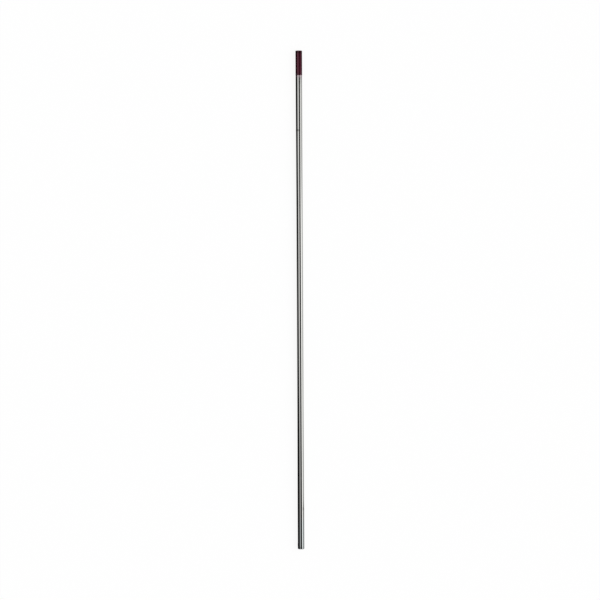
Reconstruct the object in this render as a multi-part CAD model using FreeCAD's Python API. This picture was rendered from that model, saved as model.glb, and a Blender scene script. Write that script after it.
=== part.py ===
import FreeCAD, Part

import math
import os

# Tungsten electrode for TIG welding: one ground rod, with a dip-painted end that codes its alloy.
# The rod's axis is the X axis and the middle of its length is the origin. The painted end, which
# stays at the back of the torch, points to +X, and the bare end, which is ground to the arc's
# point, points to -X. All sizes are in millimetres.

# The rod, in a standard electrode size: 3/32 in by 7 in, which is sold as 2.4 mm too
ROD_DIAMETER = 2.38
ROD_LENGTH = 177.8
BARE_END_CHAMFER = 0.3
PAINTED_END_CHAMFER = 0.12
CHAMFER_ANGLE = 45.0  # degrees, from the rod's axis

# The paint coat, a dried film that wraps the rod's wall, its chamfer and its end face
COAT_LENGTH = 8.8  # from the rod's painted end face to the dip line
COAT_THICKNESS = 0.02
COAT_END_CROWN = 0.04  # how far the film on the end face rises above its own rim
DIP_RIM_WIDTH = 0.4  # the thicker bead where the film dried along the dip line
DIP_RIM_RISE = 0.02  # how far that bead stands above the film beside it

# Worked out from the sizes above
ROD_RADIUS = ROD_DIAMETER / 2
BARE_END_X = -ROD_LENGTH / 2
PAINTED_END_X = ROD_LENGTH / 2
DIP_LINE_X = PAINTED_END_X - COAT_LENGTH
CHAMFER_SLOPE = math.tan(math.radians(CHAMFER_ANGLE))


def point(x, radius):
    """A point of a half section: x along the rod's axis, radius out from it."""
    return FreeCAD.Vector(x, radius, 0)


def line(start, end):
    """A straight edge of a half section."""
    return Part.LineSegment(start, end).toShape()


def arc(start, middle, end):
    """A round edge of a half section, through three points."""
    return Part.Arc(start, middle, end).toShape()


def turned(edges):
    """The closed solid that a half section sweeps in one full turn about the rod's axis."""
    section = Part.Face(Part.Wire(edges))
    origin = FreeCAD.Vector(0, 0, 0)
    axis = FreeCAD.Vector(1, 0, 0)
    return section.revolve(origin, axis, 360)


def corner_arc(corner, radius, from_angle, to_angle):
    """The film's round over one of the rod's corners, with its angles in degrees from the axis."""

    def around(angle):
        turn = math.radians(angle)
        return corner + FreeCAD.Vector(radius * math.cos(turn), radius * math.sin(turn), 0)

    return arc(around(from_angle), around((from_angle + to_angle) / 2), around(to_angle))


def end_corners(end_x, chamfer, outward):
    """The two corners of a chamfered end: on the end face, and on the rod's wall."""
    face_corner = point(end_x, ROD_RADIUS - chamfer * CHAMFER_SLOPE)
    wall_corner = point(end_x - outward * chamfer, ROD_RADIUS)
    return face_corner, wall_corner


def tungsten_rod():
    """The electrode itself: a ground cylinder with both of its cut ends chamfered."""
    bare_face, bare_wall = end_corners(BARE_END_X, BARE_END_CHAMFER, -1)
    painted_face, painted_wall = end_corners(PAINTED_END_X, PAINTED_END_CHAMFER, 1)
    outline = [
        point(BARE_END_X, 0),
        bare_face,
        bare_wall,
        painted_wall,
        painted_face,
        point(PAINTED_END_X, 0),
    ]
    edges = [line(a, b) for a, b in zip(outline, outline[1:] + outline[:1])]
    return turned(edges)


def colour_coat():
    """The paint film: a thin cup that seats on the rod's wall, chamfer and end face."""
    face_corner, wall_corner = end_corners(PAINTED_END_X, PAINTED_END_CHAMFER, 1)
    dip_line = point(DIP_LINE_X, ROD_RADIUS)
    film_radius = ROD_RADIUS + COAT_THICKNESS
    rim_top = point(DIP_LINE_X + DIP_RIM_WIDTH / 2, film_radius + DIP_RIM_RISE)
    rim_end = point(DIP_LINE_X + DIP_RIM_WIDTH, film_radius)
    chamfer_normal = 90.0 - CHAMFER_ANGLE

    dip_rim = arc(dip_line, rim_top, rim_end)
    wall_round = corner_arc(wall_corner, COAT_THICKNESS, 90.0, chamfer_normal)
    face_round = corner_arc(face_corner, COAT_THICKNESS, chamfer_normal, 0.0)
    wall_film = line(rim_end, wall_round.Vertexes[0].Point)
    chamfer_film = line(wall_round.Vertexes[-1].Point, face_round.Vertexes[0].Point)

    crown_edge = face_round.Vertexes[-1].Point
    crown_top = crown_edge.x + COAT_END_CROWN
    crown_radius = (crown_edge.y**2 + COAT_END_CROWN**2) / (2 * COAT_END_CROWN)
    crown_centre = crown_top - crown_radius
    half_way = math.asin(crown_edge.y / crown_radius) / 2
    crown_middle = point(
        crown_centre + crown_radius * math.cos(half_way), crown_radius * math.sin(half_way)
    )
    crown = arc(crown_edge, crown_middle, point(crown_top, 0))

    seat = [point(crown_top, 0), point(PAINTED_END_X, 0), face_corner, wall_corner, dip_line]
    seat_edges = [line(a, b) for a, b in zip(seat, seat[1:])]
    outside = [dip_rim, wall_film, wall_round, chamfer_film, face_round, crown]
    return turned(outside + seat_edges)


def export(shape, node):
    """Writes one piece to its own file, after testing that it is a single sound solid."""
    solid = shape.Solids[0] if shape.Solids else shape
    if not (solid.isValid() and solid.isClosed() and solid.Volume > 0):
        raise ValueError(f"{node} is not a sound solid")
    solid.exportStep(f"parts/{node}.step")
    box = solid.optimalBoundingBox()
    print(f"{node}: {solid.Volume:.3f} mm3, {box.XLength:.2f} x {box.YLength:.2f} x {box.ZLength:.2f} mm")


def main():
    os.makedirs("parts", exist_ok=True)
    export(tungsten_rod(), "tungsten_rod")
    export(colour_coat(), "colour_coat")


main()
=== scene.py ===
import math

import bmesh
import bpy
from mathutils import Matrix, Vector


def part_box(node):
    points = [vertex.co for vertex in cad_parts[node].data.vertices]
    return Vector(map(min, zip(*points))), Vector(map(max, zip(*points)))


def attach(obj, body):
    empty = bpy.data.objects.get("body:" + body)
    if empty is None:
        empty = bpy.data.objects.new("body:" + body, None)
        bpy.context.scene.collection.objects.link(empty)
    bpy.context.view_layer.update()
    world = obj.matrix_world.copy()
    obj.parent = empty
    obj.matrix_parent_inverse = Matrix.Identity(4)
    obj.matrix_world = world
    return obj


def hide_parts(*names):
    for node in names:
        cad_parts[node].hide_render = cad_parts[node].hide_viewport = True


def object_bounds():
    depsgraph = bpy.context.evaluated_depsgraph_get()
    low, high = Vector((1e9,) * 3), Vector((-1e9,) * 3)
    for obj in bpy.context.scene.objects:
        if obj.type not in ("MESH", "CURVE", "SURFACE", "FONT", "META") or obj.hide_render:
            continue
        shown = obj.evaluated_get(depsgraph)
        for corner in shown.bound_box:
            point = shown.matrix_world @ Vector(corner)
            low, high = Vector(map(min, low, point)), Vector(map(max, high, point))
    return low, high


# A tungsten electrode for TIG welding: a centreless-ground rod with a lacquered end, lying on a
# white table. Its axis is X and the lacquered end points to +X. Blender's unit is the metre, and
# lengths are written in millimetres times MM.

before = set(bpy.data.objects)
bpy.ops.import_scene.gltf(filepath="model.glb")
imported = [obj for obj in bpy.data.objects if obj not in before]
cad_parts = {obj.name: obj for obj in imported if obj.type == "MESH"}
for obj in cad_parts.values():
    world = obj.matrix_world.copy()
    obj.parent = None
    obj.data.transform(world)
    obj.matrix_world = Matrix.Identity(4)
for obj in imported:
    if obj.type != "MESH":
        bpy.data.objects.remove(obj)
cad_low, cad_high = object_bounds()

MM = 0.001
TOLERANCE = 0.001 * MM  # places closer than this are the same

# Places and radii that the frame gives
rod_low, rod_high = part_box("tungsten_rod")
coat_low, coat_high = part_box("colour_coat")
ROD_RADIUS = rod_high.z
BARE_END_X = rod_low.x
PAINTED_END_X = rod_high.x
ROD_LENGTH = PAINTED_END_X - BARE_END_X
DIP_LINE_X = coat_low.x
DIP_RIM_RADIUS = coat_high.z
FILM_TOP_X = coat_high.x
COAT_LENGTH = FILM_TOP_X - DIP_LINE_X
TABLE_Z = cad_low.z

# The rod's cut and chamfered ends
SIDES = 128  # facets round the rod
BARE_END_CHAMFER = 0.3 * MM
PAINTED_END_CHAMFER = 0.12 * MM
CHAMFER_PROFILE = 0.4  # 0.25 is a flat chamfer and 0.5 a full round
CHAMFER_STEPS = 6
LENGTH_STEPS = 70  # facets along the rod
WALL_GUARD = 0.04 * MM  # how far from a rounded edge the wall is already straight
CUT_FACE_RIM = 0.06 * MM  # the fine edge that the wheel leaves round a cut face
SHARP_ANGLE = 32  # degrees between two faces from which their edge is left sharp

# The lacquer film
FILM_THICKNESS = 0.02 * MM
FILM_WALL = FILM_THICKNESS * 1.4  # reaches a little below the rod's surface, so that no gap opens
FILM_STEPS = 12  # facets along the film's wall
DIP_RIM_WIDTH = 0.4 * MM
DIP_RIM_STEPS = 8
CROWN_STEPS = 6
CROWN_EASE = 0.5  # part of a step taken off each ring's rise, so that the crown stays low
RIM_SINK = 0.008 * MM  # how far the film's edge dips below the rod's surface, so that it closes
# Lobes of the dip line: degrees round the rod from its top towards +Y, shift along X, and reach
DIP_LOBES = (
    (-75, -0.05 * MM, 0.8 * MM),
    (-30, 0.03 * MM, 0.6 * MM),
    (8, -0.04 * MM, 0.6 * MM),
    (60, 0.04 * MM, 0.8 * MM),
    (118, 0.10 * MM, 1.0 * MM),
    (196, -0.14 * MM, 1.1 * MM),
)
DIP_LOBE_AIM = 0.999  # cosine of the angle within which a point lies in a lobe's direction
DIP_LOBE_SLACK = 0.01 * MM  # how far past the bead's end a lobe still takes hold

# The ground metal: features to a metre along X, Y and Z, and their depths
WHEEL_LINES = (16000, 260, 260)
SAW_LINES = (200, 9000, 1200)
METAL_CLOUDS = (60, 360, 360)
WHEEL_LINE_DEPTH = 0.0004 * MM
SAW_LINE_FACTOR = 6  # how many times deeper than the wheel's lines the saw's are
SAW_LINE_REACH = (0.03 * MM, 0.005 * MM)  # how far below an end face they begin and are full

# The marks on the metal, with the painted dark reflection and the darker band near the bare end, each a
# band round the rod: its middle along X, its width, how softly it
#  ends, and its strength. Then the part of the rod's round that it covers: across the rod, in radii
#  towards +Y, where it is faintest and where it is full, and the share of it left where it is faintest
GRIP_MARK = (PAINTED_END_X - 28.4 * MM, 0.75 * MM, 0.5 * MM, 0.72, (-0.75, 0.6, 0.0))
SCUFF = (BARE_END_X + 14.5 * MM, 1.1 * MM, 0.8 * MM, 0.4, (-0.2, -0.8, 0.0))
# A painted dark reflection: a ring near the bare end, fullest on the +Y side, that widens the dark
# stripe the rod mirrors there
PAINTED_DARK_RING = (BARE_END_X + 1.7 * MM, 1.4 * MM, 0.7 * MM, 1.0, (0.4, 0.75, 0.0))
# Darker just above the bare end's chamfer, fullest on the +Y half
DARKER_BY_BARE_END = (BARE_END_X + 0.7 * MM, 0.45 * MM, 0.3 * MM, 0.5, (-0.5, 0.0, 0.3))
# Where along X the bare end's cooler tint comes in, and its strength
TINT_X = (BARE_END_X + 12 * MM, BARE_END_X + 9 * MM)
TINT_STRENGTH = 0.8
# Where along X the haze of thinned lacquer below the dip line comes in, and its part of the round
HAZE_X = (DIP_LINE_X - 1.5 * MM, DIP_LINE_X - 0.3 * MM)
HAZE_PART = (0.85, 0.5, 0.0)
HAZE_STRENGTH = 0.75
# The metal's roughness, and what the clouds, the painted dark ring near the bare end and the haze add
# to it
POLISH = 0.06
CLOUD_ROUGHNESS = 0.04
RING_ROUGHNESS = 0.3
HAZE_ROUGHNESS = 0.24

# The lacquer's look: its flow pattern, the darker band where it is thicker at the dip line, and a
# painted dark reflection near its end
LACQUER_FLOW = (250, 500, 500)  # features to a metre along X, Y and Z
FLOW_DEPTH = 0.003 * MM
DIP_BEAD_X = (DIP_LINE_X + 1.6 * MM, DIP_LINE_X + 0.5 * MM)
DIP_BEAD_STRENGTH = 0.3
# A painted dark reflection: a dark band near the lacquered end, where its rounded edge mirrors the dark
PAINTED_DARK_END_BAND = (PAINTED_END_X - 0.62 * MM, 0.5 * MM, 0.4 * MM)  # middle along X, width and soft edge
PAINTED_DARK_END_STRENGTH = 0.95
METAL_THROUGH_FILM = 0.78  # how much of the metal's shine the thin film lets through
FILM_ROUGHNESS = 0.14
GLOSS = 0.6  # the clear gloss on top of the colour
GLOSS_ROUGHNESS = 0.05

# Where the rod's ends lie in the photograph, in pixels of its 600 x 600 frame
PHOTO_SIZE = 600
PAINTED_END_PX = Vector((298.72, 50.75))
BARE_END_PX = Vector((301.08, 549.2))
LENS = 180.0
SENSOR = 36.0
CLIP_START = 10 * MM
CLIP_END = 20000 * MM

# What the polished rod mirrors: a light tent over it. Each row is an angle from straight above, in
# degrees from +Y to -Y, and the tent's level of white there beyond the bare end, over the rod's
# middle, towards the lacquered end and over the lacquer
TENT_RADIUS = 400 * MM
TENT_LENGTH = 1200 * MM
TENT_SIDES = 96
TENT_TOP = 2.0  # the ramps hold the levels as shares of this
TENT_END_SHARE = 0.4  # the share of its light that its two ends keep
TENT_END_X = (450 * MM, 600 * MM)
TENT_LEVELS = (
    (-90, 0.0, 0.0, 0.0, 0.0),
    (-60, 0.0, 0.0, 0.0, 0.0),
    (-52, 0.0, 0.0, 0.4, 0.5),
    (-44, 0.15, 0.5, 0.95, 0.95),
    (-36, 0.5, 1.0, 1.2, 1.0),
    (-20, 0.65, 1.15, 1.2, 0.7),
    (-6, 0.65, 1.1, 0.9, 0.45),
    (-2, 0.0, 0.0, 0.0, 0.05),
    (34, 0.0, 0.0, 0.0, 0.05),
    (39, 0.2, 0.9, 0.3, 0.15),
    (44, 1.4, 1.6, 1.7, 0.2),
    (70, 1.8, 1.8, 1.15, 0.2),
    (80, 1.4, 1.5, 0.95, 0.15),
    (86, 0.35, 1.1, 0.75, 0.1),
    (90, 0.2, 0.8, 0.6, 0.1),
)
# Where along X each column of levels gives way to the next
TENT_TURNS = ((-94 * MM, -19 * MM), (38 * MM, 75 * MM), (106 * MM, 114 * MM))

# The cloths on the tent's floor: name, side of the rod (1 is +Y), then the cloth's level of white and
# the gap of white table between it and the rod, at its middle, on the bare end's side and at both of
# its ends, then its middle along X and how far from there it turns to its ends
CLOTHS = (
    (
        "black_cloth", 1,
        (0.0, 5.0 * MM), (0.0, 5.0 * MM), (0.0, 2.3 * MM),
        0.0, (20 * MM, 78 * MM),
    ),
    (
        "grey_cloth", -1,
        (0.5, 7.0 * MM), (0.4, 4.8 * MM), (0.2, 2.4 * MM),
        3.5 * MM, (73.5 * MM, 78.5 * MM),
    ),
)
CLOTH_STEP_X = (-35 * MM, -55 * MM)  # where the middle gives way to the bare end's side
CLOTH_EDGE = 0.6 * MM  # how gently the white table gives way to the cloth
CLOTH_LIFT = 0.01 * MM  # how far above the table a cloth lies

# The room
TABLE_SIZE = 6000 * MM
PAPER_WHITE = 0.95
ROOM_LIGHT = 0.5  # the light from all round, where 1 shows a colour as it is written
TABLE_GLOW = 0.9  # how much of the table's white is its own, so that the rod's shadow is faint
KEY_LIGHT = 0.5  # the soft lamp's share of the light on a level face
KEY_TILT = 45  # degrees from straight above, towards -Y
KEY_SPREAD = 60  # degrees across, so that the shadow is soft


def same(a, b):
    """Whether two places are the same, within the tolerance."""
    return abs(a - b) < TOLERANCE


def stock(name, start_x, end_x, radius):
    """A round blank along X for a piece, left in edit mode."""
    if bpy.context.object and bpy.context.object.mode == "EDIT":
        bpy.ops.object.mode_set(mode="OBJECT")
    bpy.ops.object.select_all(action="DESELECT")
    bpy.ops.mesh.primitive_cylinder_add(
        vertices=SIDES,
        radius=radius,
        depth=end_x - start_x,
        location=((start_x + end_x) / 2, 0, 0),
        rotation=(0, math.radians(90), 0),
    )
    piece = bpy.context.object
    piece.name = piece.data.name = name
    bpy.ops.object.transform_apply(location=True, rotation=True, scale=True)
    bpy.ops.object.mode_set(mode="EDIT")
    return piece


def pick(piece, kind, wanted):
    """Selects the vertices, edges or faces whose corners all pass the test."""
    bpy.ops.mesh.select_mode(type=kind)
    bpy.ops.mesh.select_all(action="DESELECT")
    mesh = bmesh.from_edit_mesh(piece.data)
    parts = {"VERT": mesh.verts, "EDGE": mesh.edges, "FACE": mesh.faces}[kind]
    for part in parts:
        corners = [part.co] if kind == "VERT" else [corner.co for corner in part.verts]
        if wanted(corners):
            part.select_set(True)
    bmesh.update_edit_mesh(piece.data)


def pick_ring(piece, kind, x):
    """Selects what lies wholly at one place along the rod."""
    pick(piece, kind, lambda corners: all(same(corner.x, x) for corner in corners))


def split_length(piece, steps, length):
    """Cuts the facets that run along most of a piece's length across, so that none is a sliver."""
    pick(piece, "EDGE", lambda corners: abs(corners[0].x - corners[1].x) > length / 2)
    bpy.ops.mesh.subdivide(number_cuts=steps - 1)


def guard_wall(x):
    """Cuts a ring round the wall beside a rounded edge, so that the wall shades straight up to it."""
    bpy.ops.mesh.select_all(action="SELECT")
    bpy.ops.mesh.bisect(plane_co=(x, 0, 0), plane_no=(1, 0, 0), threshold=TOLERANCE)


def finish_piece(piece, finish, node):
    """Leaves edit mode, smooths the round faces and sets the piece on the body in place of its node."""
    bpy.ops.object.mode_set(mode="OBJECT")
    bpy.ops.object.shade_smooth_by_angle(angle=math.radians(SHARP_ANGLE))
    piece.data.materials.append(finish)
    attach(piece, "root")
    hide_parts(node)


def ground_rod(finish):
    """The electrode itself, with its cut ends chamfered."""
    rod = stock("ground_rod", BARE_END_X, PAINTED_END_X, ROD_RADIUS)
    ends = ((BARE_END_X, BARE_END_CHAMFER), (PAINTED_END_X, PAINTED_END_CHAMFER))
    for end_x, chamfer in ends:
        pick_ring(rod, "EDGE", end_x)
        bpy.ops.mesh.bevel(offset=chamfer, segments=CHAMFER_STEPS, profile=CHAMFER_PROFILE)
        pick_ring(rod, "FACE", end_x)
        bpy.ops.mesh.inset(thickness=CUT_FACE_RIM)
        guard_wall(end_x - math.copysign(chamfer + WALL_GUARD, end_x))
    split_length(rod, LENGTH_STEPS, ROD_LENGTH)
    finish_piece(rod, finish, "tungsten_rod")


def dip_rim(coat, rim_end, film_radius):
    """The film's open end, with its bead: each step of the arc is one ring further down the rod."""
    pick_ring(coat, "FACE", rim_end)
    bpy.ops.mesh.delete(type="ONLY_FACE")
    pick_ring(coat, "EDGE", rim_end)
    ring_x, ring_radius = rim_end, film_radius
    for step in range(1, DIP_RIM_STEPS + 1):
        share = step / DIP_RIM_STEPS
        foot = film_radius + (ROD_RADIUS - RIM_SINK - film_radius) * share
        rise = (DIP_RIM_RADIUS - (film_radius + ROD_RADIUS) / 2) * math.sin(math.pi * share)
        next_x, next_radius = rim_end - DIP_RIM_WIDTH * share, foot + rise
        bpy.ops.mesh.extrude_edges_move(TRANSFORM_OT_translate={"value": (next_x - ring_x, 0, 0)})
        scale = next_radius / ring_radius
        bpy.ops.transform.resize(value=(1, scale, scale))
        ring_x, ring_radius = next_x, next_radius


def crowned_end(coat, film_face, film_radius):
    """The film's closed end, which rounds over the chamfer and stands proud in the middle."""
    pick_ring(coat, "EDGE", film_face)
    bpy.ops.mesh.bevel(
        offset=PAINTED_END_CHAMFER, segments=CHAMFER_STEPS, profile=CHAMFER_PROFILE
    )
    pick_ring(coat, "FACE", film_face)
    ring_width = (film_radius - PAINTED_END_CHAMFER) / CROWN_STEPS
    crown = FILM_TOP_X - film_face
    for step in range(CROWN_STEPS - 1):
        outer = 1 - step / CROWN_STEPS
        inner = 1 - (step + 1) / (CROWN_STEPS + CROWN_EASE)
        bpy.ops.mesh.inset(thickness=ring_width, depth=crown * (outer**2 - inner**2))
    bpy.ops.mesh.inset(thickness=ring_width / 2)


def wander(coat, rim_end):
    """Pulls the dip line a little to and fro along the rod, lobe by lobe."""
    for degrees, shift, reach in DIP_LOBES:
        turn = math.radians(degrees)
        toward = Vector((0, math.sin(turn), math.cos(turn)))
        pick(
            coat,
            "VERT",
            lambda corners: corners[0].x < rim_end + DIP_LOBE_SLACK
            and (corners[0] - Vector((corners[0].x, 0, 0))).normalized().dot(toward) > DIP_LOBE_AIM,
        )
        bpy.ops.transform.translate(
            value=(shift, 0, 0),
            use_proportional_edit=True,
            proportional_edit_falloff="SMOOTH",
            proportional_size=reach,
        )


def lacquer_coat(finish):
    """The dipped film: a cup with a crowned end face, and a bead where it dried at the dip line."""
    film_radius = ROD_RADIUS + FILM_THICKNESS
    rim_end = DIP_LINE_X + DIP_RIM_WIDTH
    film_face = PAINTED_END_X + FILM_THICKNESS
    coat = stock("lacquer_coat", rim_end, film_face, film_radius)
    dip_rim(coat, rim_end, film_radius)
    crowned_end(coat, film_face, film_radius)
    guard_wall(rim_end + WALL_GUARD)
    guard_wall(film_face - PAINTED_END_CHAMFER - WALL_GUARD)
    wander(coat, rim_end)
    split_length(coat, FILM_STEPS, COAT_LENGTH)

    bpy.ops.object.mode_set(mode="OBJECT")
    wall = coat.modifiers.new("film", "SOLIDIFY")
    wall.thickness = FILM_WALL
    wall.offset = -1
    bpy.ops.object.modifier_apply(modifier=wall.name)
    finish_piece(coat, finish, "colour_coat")


def display(red, green, blue):
    """A colour given as it shows on a screen, from 0 to 255, as the light that it stands for."""

    def light(level):
        share = level / 255
        return share / 12.92 if share <= 0.04045 else ((share + 0.055) / 1.055) ** 2.4

    return (light(red), light(green), light(blue), 1.0)


def grey(level):
    """A level of white as a colour."""
    return (level, level, level, 1.0)


class Shade:
    """A value that varies over a surface. Arithmetic on it adds Math nodes."""

    def __init__(self, tree, socket=None):
        self.tree = tree
        self.socket = socket

    def node(self, kind, settings=None, inputs=None, output=0):
        """Adds a node of a kind: first its settings, then the values or links of its sockets."""
        made = self.tree.nodes.new("ShaderNode" + kind)
        for name, value in (settings or {}).items():
            if name == "stops":
                self.set_stops(made.color_ramp.elements, value)
            else:
                setattr(made, name, value)
        for name, value in (inputs or {}).items():
            if isinstance(value, Shade):
                self.tree.links.new(value.socket, made.inputs[name])
            else:
                made.inputs[name].default_value = value
        return Shade(self.tree, made.outputs[output] if made.outputs else None)

    @staticmethod
    def set_stops(elements, stops):
        """Gives a ramp its stops, each a place and a level of white."""
        while len(elements) < len(stops):
            elements.new(1.0)
        for element, (place, level) in zip(elements, stops):
            element.position = place
            element.color = grey(level)

    def math(self, operation, *values):
        """Adds a Math node that takes these values."""
        return self.node("Math", {"operation": operation}, dict(enumerate(values)))

    def __add__(self, other):
        return self.math("ADD", self, other)

    def __sub__(self, other):
        return self.math("SUBTRACT", self, other)

    def __rsub__(self, other):
        return self.math("SUBTRACT", other, self)

    def __mul__(self, other):
        return self.math("MULTIPLY", self, other)

    def __truediv__(self, other):
        return self.math("DIVIDE", self, other)

    def __abs__(self):
        return self.math("ABSOLUTE", self)

    __radd__ = __add__
    __rmul__ = __mul__


def new_finish(name):
    """An empty material, and where its nodes start from."""
    finish = bpy.data.materials.new(name)
    finish.use_nodes = True
    finish.node_tree.nodes.clear()
    return finish, Shade(finish.node_tree)


def surface_place(start):
    """The coordinates that the patterns follow, which are those of the piece itself."""
    return start.node("TexCoord", output="Object")


def axis(place, name):
    """One coordinate of a place: X is along the rod, and Y and Z are across it."""
    return place.node("SeparateXYZ", inputs={"Vector": place}, output=name)


def grain(place, per_metre, detail, roughness=0.5):
    """Cloudy noise with so many features to a metre along each axis."""
    mapped = place.node("Mapping", inputs={"Vector": place, "Scale": per_metre})
    sockets = {"Vector": mapped, "Scale": 1.0, "Detail": detail, "Roughness": roughness}
    return place.node("TexNoise", inputs=sockets)


def fade(value, low, high, at_low=0.0, at_high=1.0):
    """A value's smooth passage from one level to another."""
    return value.node(
        "MapRange",
        {"interpolation_type": "SMOOTHSTEP"},
        {"Value": value, "From Min": low, "From Max": high, "To Min": at_low, "To Max": at_high},
    )


def band(x, middle, width, edge):
    """A mask that is 1 across a band of the rod's length and fades out at both of its edges."""
    return fade(abs(x - middle), (width - edge) / 2, (width + edge) / 2, 1.0, 0.0)


def round_part(y, faintest, full, least):
    """A mask for a part of the rod's round, from two places across the rod in radii towards +Y."""
    return fade(y, faintest * ROD_RADIUS, full * ROD_RADIUS, least, 1.0)


def mark(x, y, middle, width, edge, strength, part):
    """A mask for one mark on the metal, from its named values."""
    return band(x, middle, width, edge) * round_part(y, *part) * strength


def between(mask, under, over):
    """One number where the mask is 0, and the other where it is 1."""
    return mask * (over - under) + under


def mixed(mask, under, over):
    """One colour where the mask is 0, and the other where it is 1."""
    factor, colour_a, colour_b, colour_result = 0, 6, 7, 2  # the node's sockets for colours
    sockets = {factor: mask, colour_a: under, colour_b: over}
    return mask.node("Mix", {"data_type": "RGBA"}, sockets, colour_result)


def bumps(height, depth):
    """The relief of a pattern, in lengths of its depth."""
    return height.node("Bump", inputs={"Distance": depth, "Height": height, "Strength": 1.0})


def ground_tungsten():
    """Bare tungsten as the grinding wheel leaves it, with its stains and its handling marks."""
    finish, start = new_finish("ground_tungsten")
    place = surface_place(start)
    x, y = axis(place, "X"), axis(place, "Y")
    wheel_lines = grain(place, WHEEL_LINES, detail=3.0, roughness=0.6)
    saw_lines = grain(place, SAW_LINES, detail=2.0)
    clouds = grain(place, METAL_CLOUDS, detail=3.0)
    cut_face = fade(abs(x), *(ROD_LENGTH / 2 - reach for reach in SAW_LINE_REACH))
    painted_dark_ring = mark(x, y, *PAINTED_DARK_RING)
    haze = fade(x, *HAZE_X) * round_part(y, *HAZE_PART)

    dull, bright = display(178, 178, 175), display(198, 198, 195)
    cool, smudge, bare_end_darkening = display(180, 187, 187), display(100, 98, 95), display(90, 92, 91)
    painted_dark_reflection, thinned_lacquer = display(36, 37, 36), display(220, 204, 209)
    metal = mixed(clouds * 0.5 + wheel_lines * 0.5, dull, bright)
    metal = mixed(fade(x, *TINT_X) * TINT_STRENGTH, metal, cool)
    metal = mixed(mark(x, y, *GRIP_MARK) + mark(x, y, *SCUFF), metal, smudge)
    # Darker just above the bare end's chamfer
    metal = mixed(mark(x, y, *DARKER_BY_BARE_END), metal, bare_end_darkening)
    # Painted dark reflection near the bare end, widening the mirrored dark stripe
    metal = mixed(painted_dark_ring, metal, painted_dark_reflection)
    metal = mixed(haze * HAZE_STRENGTH, metal, thinned_lacquer)
    dullness = clouds * CLOUD_ROUGHNESS + painted_dark_ring * RING_ROUGHNESS + haze * HAZE_ROUGHNESS
    height = wheel_lines + saw_lines * cut_face * SAW_LINE_FACTOR
    surface = start.node(
        "BsdfPrincipled",
        inputs={
            "Base Color": metal,
            "Metallic": 1.0,
            "Roughness": POLISH + dullness,
            "Normal": bumps(height, WHEEL_LINE_DEPTH),
        },
    )
    start.node("OutputMaterial", inputs={"Surface": surface})
    return finish


def wine_lacquer():
    """A glossy wine-red lacquer, thin enough for the metal under it to lend it some shine."""
    finish, start = new_finish("wine_lacquer")
    place = surface_place(start)
    x = axis(place, "X")
    flow = grain(place, LACQUER_FLOW, detail=2.0)
    dip_bead = fade(x, *DIP_BEAD_X) * DIP_BEAD_STRENGTH
    painted_dark_end_band = band(x, *PAINTED_DARK_END_BAND) * PAINTED_DARK_END_STRENGTH

    film = mixed(flow, display(80, 18, 40), display(88, 26, 48))
    film = mixed(dip_bead, film, display(50, 6, 22))
    # Painted dark reflection near the lacquered end
    film = mixed(painted_dark_end_band, film, display(44, 0, 12))
    surface = start.node(
        "BsdfPrincipled",
        inputs={
            "Base Color": film,
            "Metallic": METAL_THROUGH_FILM,
            "Roughness": FILM_ROUGHNESS,
            "Normal": bumps(flow, FLOW_DEPTH),
            "Coat Weight": GLOSS,
            "Coat Roughness": GLOSS_ROUGHNESS,
        },
    )
    start.node("OutputMaterial", inputs={"Surface": surface})
    return finish


def seen_or_mirrored(start):
    """1 for a ray from the camera, or one that a surface mirrors or lets through, else 0."""
    names = ("Is Camera Ray", "Is Glossy Ray", "Is Transmission Ray")
    seen, mirrored, passed = (start.node("LightPath", output=name) for name in names)
    return start.math("MAXIMUM", seen, start.math("MAXIMUM", mirrored, passed))


def white_table():
    """The white top that the rod lies on."""
    finish, start = new_finish("white_table")
    paper = start.node("BsdfDiffuse", inputs={"Color": grey(PAPER_WHITE)})
    glow = start.node("Emission", inputs={"Color": grey(1.0), "Strength": 1.0})
    share = seen_or_mirrored(start) * TABLE_GLOW
    surface = start.node("MixShader", inputs={0: share, 1: paper, 2: glow})
    start.node("OutputMaterial", inputs={"Surface": surface})
    bpy.ops.mesh.primitive_plane_add(size=TABLE_SIZE, location=(0, 0, TABLE_Z))
    table = bpy.context.object
    table.name = "table"
    table.data.materials.append(finish)


def mirrored_only(piece):
    """Lets a part of the studio show in reflections alone: it lights and shades nothing."""
    for ray in ("camera", "diffuse", "transmission", "volume_scatter", "shadow"):
        setattr(piece, "visible_" + ray, False)


def tent_glow():
    """The tent's glow, by the angle from straight above and by the place along the rod."""
    finish, start = new_finish("tent_roof")
    place = surface_place(start)
    x = axis(place, "X")
    angle = start.math("ARCTAN2", axis(place, "Y") * -1, axis(place, "Z"))
    share = angle / math.pi + 0.5
    columns = []
    for column in range(1, len(TENT_LEVELS[0])):
        stops = [((row[0] + 90) / 180, row[column] / TENT_TOP) for row in TENT_LEVELS]
        columns.append(start.node("ValToRGB", {"stops": stops}, {"Fac": share}))
    glow = columns[0]
    for turn, next_glow in zip(TENT_TURNS, columns[1:]):
        glow = mixed(fade(x, *turn), glow, next_glow)
    glow = mixed(fade(abs(x), *TENT_END_X) * (1 - TENT_END_SHARE), glow, grey(0.0))
    surface = start.node("Emission", inputs={"Color": glow, "Strength": TENT_TOP})
    start.node("OutputMaterial", inputs={"Surface": surface})
    return finish


def tent_roof(finish):
    """The tent's half-round roof over the rod, which gives it its long light and dark stripes."""
    bpy.ops.mesh.primitive_cylinder_add(
        vertices=TENT_SIDES,
        radius=TENT_RADIUS,
        depth=TENT_LENGTH,
        rotation=(0, math.radians(90), 0),
    )
    roof = bpy.context.object
    roof.name = "tent_roof"
    bpy.ops.object.transform_apply(rotation=True)
    bpy.ops.object.mode_set(mode="EDIT")
    bpy.ops.mesh.select_all(action="SELECT")
    bpy.ops.mesh.bisect(plane_co=(0, 0, TABLE_Z), plane_no=(0, 0, 1), clear_inner=True)
    bpy.ops.object.mode_set(mode="OBJECT")
    roof.data.materials.append(finish)
    mirrored_only(roof)


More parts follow.
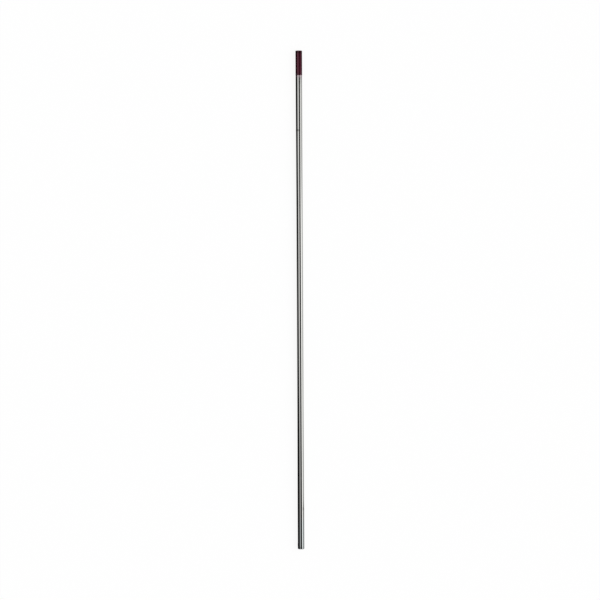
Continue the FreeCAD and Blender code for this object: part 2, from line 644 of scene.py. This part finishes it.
def tent_cloth(name, side, middle, bare_side, ends, middle_x, turn):
    """A cloth on the tent's floor beside the rod, which gives it a darker lower edge."""
    finish, start = new_finish(name)
    place = surface_place(start)
    x = axis(place, "X")
    to_bare_side = fade(x, *CLOTH_STEP_X)
    to_ends = fade(abs(x - middle_x), *turn)
    level, gap = (
        between(to_ends, between(to_bare_side, inner, bare), outer)
        for inner, bare, outer in zip(middle, bare_side, ends)
    )
    white = fade(axis(place, "Y") * side - gap, -CLOTH_EDGE, CLOTH_EDGE, 1.0, level)
    glow = mixed(white, grey(0.0), grey(1.0))
    surface = start.node("Emission", inputs={"Color": glow, "Strength": 1.0})
    start.node("OutputMaterial", inputs={"Surface": surface})

    centre = (0, side * TENT_RADIUS / 2, TABLE_Z + CLOTH_LIFT)
    bpy.ops.mesh.primitive_plane_add(size=1, location=centre)
    cloth = bpy.context.object
    cloth.name = name
    cloth.scale = (TENT_LENGTH, TENT_RADIUS, 1)
    bpy.ops.object.transform_apply(location=True, scale=True)
    cloth.data.materials.append(finish)
    mirrored_only(cloth)


def studio_light():
    """Even light from all round, and one broad soft lamp on the -Y side."""
    world = bpy.data.worlds.new("white_room")
    bpy.context.scene.world = world
    world.use_nodes = True
    world.node_tree.nodes.clear()
    start = Shade(world.node_tree)
    room = mixed(seen_or_mirrored(start), grey(ROOM_LIGHT), grey(1.0))
    background = start.node("Background", inputs={"Color": room, "Strength": 1.0})
    start.node("OutputWorld", inputs={"Surface": background})

    bpy.ops.object.light_add(type="SUN", rotation=(math.radians(KEY_TILT), 0, 0))
    lamp = bpy.context.object
    lamp.name = "soft_lamp"
    lamp.data.energy = KEY_LIGHT * math.pi / math.cos(math.radians(KEY_TILT))
    lamp.data.angle = math.radians(KEY_SPREAD)
    lamp.visible_glossy = False


def overhead_camera():
    """Straight above the rod, at the scale and the lean that its ends show in the photograph."""
    reach = BARE_END_PX - PAINTED_END_PX
    metres_per_pixel = ROD_LENGTH / reach.length
    lean = math.atan2(reach.x, reach.y)
    middle = (PAINTED_END_PX + BARE_END_PX) / 2 - Vector((PHOTO_SIZE, PHOTO_SIZE)) / 2
    turn = math.radians(-90) - lean
    right = Vector((math.cos(turn), math.sin(turn)))
    up = Vector((-math.sin(turn), math.cos(turn)))
    centre = (-right * middle.x + up * middle.y) * metres_per_pixel
    height = metres_per_pixel * PHOTO_SIZE * LENS / SENSOR
    bpy.ops.object.camera_add(location=(centre.x, centre.y, height), rotation=(0, 0, turn))
    view = bpy.context.object
    view.name = "camera"
    view.data.lens = LENS
    view.data.sensor_width = SENSOR
    view.data.clip_start = CLIP_START
    view.data.clip_end = CLIP_END
    bpy.context.scene.camera = view


def main():
    bpy.context.scene.view_settings.view_transform = "Standard"
    overhead_camera()
    ground_rod(ground_tungsten())
    lacquer_coat(wine_lacquer())
    white_table()
    tent_roof(tent_glow())
    for cloth in CLOTHS:
        tent_cloth(*cloth)
    studio_light()
    bpy.context.view_layer.update()


main()
